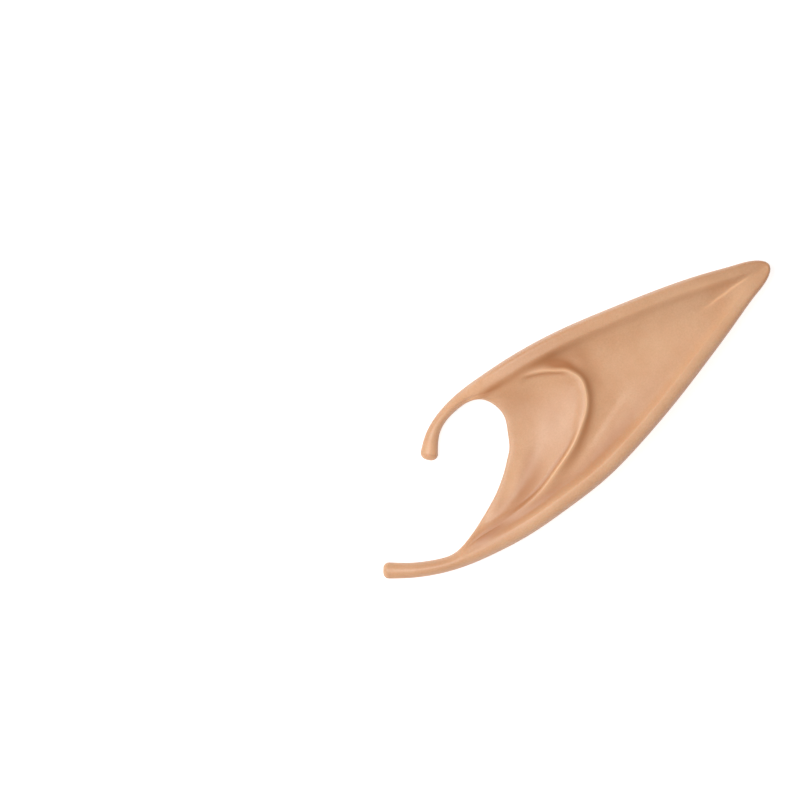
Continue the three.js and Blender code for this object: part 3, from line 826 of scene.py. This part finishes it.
def rounded_end(ring, station, way, blunt):
    """Rings that shrink to a section's middle by a power, blunt, of the cosine of an angle while they
    move outward by its sine, and the pole where they meet."""
    v = {name: value[0] for name, value in section_values(np.array([station])).items()}
    ends = edge(np.array([station]))[0], cut(np.array([station]))[0]
    centre = np.append(mix(*ends, 0.5), mix(v["foot"], v["crest"], 0.5))
    across = right_of(edge, np.array([station]))[0]
    axis = np.array([-across[1] * way, across[0] * way, 0])
    length = np.linalg.norm(ends[1] - ends[0]) / 2
    angle = (lines(CAP_RINGS, last=False) * math.pi / 2)[:, None, None]
    rings = mix(centre, ring[None], np.cos(angle) ** blunt) + axis * length * np.sin(angle) * blunt
    return rings, centre + axis * length * blunt


def ear_mesh():
    """The closed skin: four-sided faces between neighbouring rings and a fan at each end."""
    even = np.linspace(0, 1, STATIONS)
    sum_up = np.cumsum(np.interp(even, DENSITY[:, 0], DENSITY[:, 1]))
    station = np.interp(even, (sum_up - sum_up[0]) / (sum_up[-1] - sum_up[0]), even)
    sections, counts = whole_skin(station)
    hook_rings, hook_pole = rounded_end(sections[0], 0.0, -1, HOOK_BLUNT)
    tail_rings, tail_pole = rounded_end(sections[-1], 1.0, 1, TAIL_BLUNT)
    rings = np.concatenate([hook_rings[::-1], sections, tail_rings])
    count, width = rings.shape[:2]
    points = np.concatenate([rings.reshape(-1, 3), [hook_pole, tail_pole]])
    low, high = points.min(axis=0), points.max(axis=0)
    points -= [(low[0] + high[0]) / 2, (low[1] + high[1]) / 2, low[2]]
    ring, line = np.meshgrid(np.arange(count - 1), np.arange(width), indexing="ij")
    here, after = ring * width + line, ring * width + (line + 1) % width
    quads = np.stack([here, after, after + width, here + width], axis=-1).reshape(-1, 4)
    last = (count - 1) * width
    around = np.arange(width)
    next_one = (around + 1) % width
    hook_fan = [np.full(width, count * width), next_one, around]
    tail_fan = [np.full(width, count * width + 1), last + around, last + next_one]
    fans = np.concatenate([np.stack(hook_fan, axis=-1), np.stack(tail_fan, axis=-1)])
    mesh = bpy.data.meshes.new("ear_tip_skin")
    mesh.vertices.add(len(points))
    mesh.vertices.foreach_set("co", (points * MM).ravel())
    corners = np.concatenate([quads.ravel(), fans.ravel()])
    starts = np.concatenate([
        np.arange(len(quads)) * 4, len(quads) * 4 + np.arange(len(fans)) * 3,
    ])
    mesh.loops.add(len(corners))
    mesh.loops.foreach_set("vertex_index", corners)
    mesh.polygons.add(len(starts))
    mesh.polygons.foreach_set("loop_start", starts)
    mesh.update(calc_edges=True)
    mesh.validate()
    mesh.polygons.foreach_set("use_smooth", np.ones(len(starts), bool))
    outside = np.zeros((count, width))
    dark, light = np.zeros((count, width)), np.zeros((count, width))
    body = slice(len(hook_rings), len(hook_rings) + len(sections)), slice(0, counts[0])
    dark[body], light[body] = painted_light(sections[:, :counts[0], :2])
    outside[:, :counts[0]] = 1
    # The painted shade and the painted highlights on the front, and the front's share, kept on the
    # mesh
    for name, values in (("painted_shade", dark), ("crest", light), ("front", outside)):
        layer = mesh.attributes.new(name, "FLOAT", "POINT")
        layer.data.foreach_set("value", np.append(values.ravel(), [0, 0]))
    return mesh


def linear(code):
    """An sRGB hex colour as linear red, green, blue and 1."""
    values = [int(code[i:i + 2], 16) / 255 for i in (1, 3, 5)]
    return [v / 12.92 if v <= 0.04045 else ((v + 0.055) / 1.055) ** 2.4 for v in values] + [1.0]


def add(tree, kind, values=None, **settings):
    """Adds a node: settings are its own properties, and values its inputs, as numbers or links."""
    node = tree.nodes.new(kind)
    for name, value in settings.items():
        setattr(node, name, value)
    for name, value in (values or {}).items():
        if isinstance(value, bpy.types.NodeSocket):
            tree.links.new(value, node.inputs[name])
        else:
            node.inputs[name].default_value = value
    return node


def new_material(name):
    material = bpy.data.materials.new(name)
    material.use_nodes = True
    material.node_tree.nodes.clear()
    return material, material.node_tree


def read(tree, name):
    """A value kept on the mesh."""
    return add(tree, "ShaderNodeAttribute", attribute_name=name).outputs["Fac"]


# The mix node's own numbers of its sockets for colours
MIX_SHARE, MIX_FIRST, MIX_SECOND, MIX_RESULT = 0, 6, 7, 2


def blend(tree, share, first, second):
    """A colour between two, by the share."""
    node = add(tree, "ShaderNodeMix", data_type="RGBA")
    for socket, value in ((MIX_SHARE, share), (MIX_FIRST, first), (MIX_SECOND, second)):
        if isinstance(value, bpy.types.NodeSocket):
            tree.links.new(value, node.inputs[socket])
        else:
            node.inputs[socket].default_value = value
    return node.outputs[MIX_RESULT]


def noise(tree, place, size, detail):
    """A noise whose blotches are about this size in metres."""
    return add(tree, "ShaderNodeTexNoise", {
        "Vector": place, "Scale": 1 / size, "Detail": detail, "Roughness": 0.55,
    }).outputs["Fac"]


def between(tree, value, low, high, new_low=0.0, new_high=1.0):
    """A value moved from one range to another and held there."""
    return add(tree, "ShaderNodeMapRange", {
        "Value": value, "From Min": low, "From Max": high, "To Min": new_low, "To Max": new_high,
    }).outputs["Result"]


BLOTCHES = 11 * MM
SWELLS = 6 * MM
GRAIN = 0.6 * MM
GRAIN_RELIEF = 0.06 * MM
SWELL_RELIEF = 0.25 * MM
LIGHT_DEPTH = 1.5 * MM


def moulded_latex():
    """Natural latex rubber, slush-moulded with skin-coloured pigment: satin where it lay against
    the mould, with painted shade in the grooves and painted highlights on the crests, faint blotches
    and a fine grain, and matt and paler inside and behind."""
    material, tree = new_material("moulded_latex")
    place = add(tree, "ShaderNodeTexCoord").outputs["Object"]
    painted_shade, crest, front = (read(tree, name) for name in ("painted_shade", "crest", "front"))
    blotches = between(tree, noise(tree, place, BLOTCHES, 3), 0.35, 0.65)
    grain = noise(tree, place, GRAIN, 2)
    colour = blend(tree, blotches, linear("#e7b187"), linear("#eebc94"))
    colour = blend(tree, between(tree, grain, 0.3, 0.7, 0, 0.26), colour, linear("#c89468"))
    # Painted shade in the grooves and at the rim's foot, then painted highlights on the crests
    colour = blend(tree, painted_shade, colour, linear("#c38355"))
    colour = blend(tree, crest, colour, linear("#fcc79a"))
    colour = blend(tree, front, linear("#e3b592"), colour)
    swell = noise(tree, place, SWELLS, 1)
    skin = add(tree, "ShaderNodeBump", {"Height": grain, "Strength": 0.35, "Distance": GRAIN_RELIEF})
    relief = add(tree, "ShaderNodeBump", {
        "Height": swell, "Strength": 0.5, "Distance": SWELL_RELIEF, "Normal": skin.outputs["Normal"],
    })
    surface = add(tree, "ShaderNodeBsdfPrincipled", {
        "Base Color": colour,
        "Roughness": between(tree, front, 0, 1, 0.62, 0.43),
        "IOR": 1.52,
        "Normal": relief.outputs["Normal"],
        "Subsurface Weight": 0.15,
        "Subsurface Radius": (1.0, 0.5, 0.3),
        "Subsurface Scale": LIGHT_DEPTH,
    })
    add(tree, "ShaderNodeOutputMaterial", {"Surface": surface.outputs["BSDF"]})
    return material


def white_table():
    """Matt white board, lit from within a little, so that a studio's white stays fully white."""
    material, tree = new_material("white_table")
    surface = add(tree, "ShaderNodeBsdfPrincipled", {
        "Base Color": linear("#c8c8c8"),
        "Roughness": 0.9,
        "Emission Color": linear("#ffffff"),
        "Emission Strength": 0.75,
    })
    add(tree, "ShaderNodeOutputMaterial", {"Surface": surface.outputs["BSDF"]})
    return material


ear = bpy.data.objects.new("ear_tip_latex", ear_mesh())
bpy.context.collection.objects.link(ear)
ear.data.materials.append(moulded_latex())
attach(ear, "root")
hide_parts("ear_tip")

FLOOR_HALF = 6.0
floor_mesh = bpy.data.meshes.new("table_top")
floor_mesh.from_pydata(
    [(-FLOOR_HALF, -FLOOR_HALF, 0), (FLOOR_HALF, -FLOOR_HALF, 0), (FLOOR_HALF, FLOOR_HALF, 0),
     (-FLOOR_HALF, FLOOR_HALF, 0)], [], [(0, 1, 2, 3)],
)
floor = bpy.data.objects.new("table_top", floor_mesh)
bpy.context.collection.objects.link(floor)
floor_mesh.materials.append(white_table())

# The camera looks straight down and is turned, because the ear lies aslant in the frame
scene = bpy.context.scene
FRAME_WIDTH = 273.93
FRAME_CENTRE = (-45.58, 36.23)
SUBJECT_HEIGHT = 7.0
TURN = math.radians(-35.0)
LENS = 200.0
SENSOR = 36.0
camera_data = bpy.data.cameras.new("camera")
camera_data.lens = LENS
camera_data.sensor_width = SENSOR
camera = bpy.data.objects.new("camera", camera_data)
bpy.context.collection.objects.link(camera)
camera.location = (
    FRAME_CENTRE[0] * MM, FRAME_CENTRE[1] * MM, (FRAME_WIDTH * LENS / SENSOR + SUBJECT_HEIGHT) * MM,
)
camera.rotation_euler = (0, 0, TURN)
scene.camera = camera

# Soft light: a large panel to the photograph's left, and white all round
KEY_PLACE = (-0.45, 0.313, 1.18)
KEY_SIZE = 0.7
KEY_POWER = 11
SURROUND = 0.33


def panel(name, place, aim, size, power):
    data = bpy.data.lights.new(name, "AREA")
    data.shape = "SQUARE"
    data.size = size
    data.energy = power
    lamp = bpy.data.objects.new(name, data)
    bpy.context.collection.objects.link(lamp)
    lamp.location = place
    lamp.rotation_euler = (Vector(aim) - Vector(place)).to_track_quat("-Z", "Y").to_euler()


panel("key_panel", KEY_PLACE, (0, 0, 0), KEY_SIZE, KEY_POWER)
world = bpy.data.worlds.new("studio")
world.use_nodes = True
world.node_tree.nodes["Background"].inputs["Color"].default_value = (1, 1, 1, 1)
world.node_tree.nodes["Background"].inputs["Strength"].default_value = SURROUND
scene.world = world
scene.view_settings.view_transform = "Standard"
scene.view_settings.look = "None"
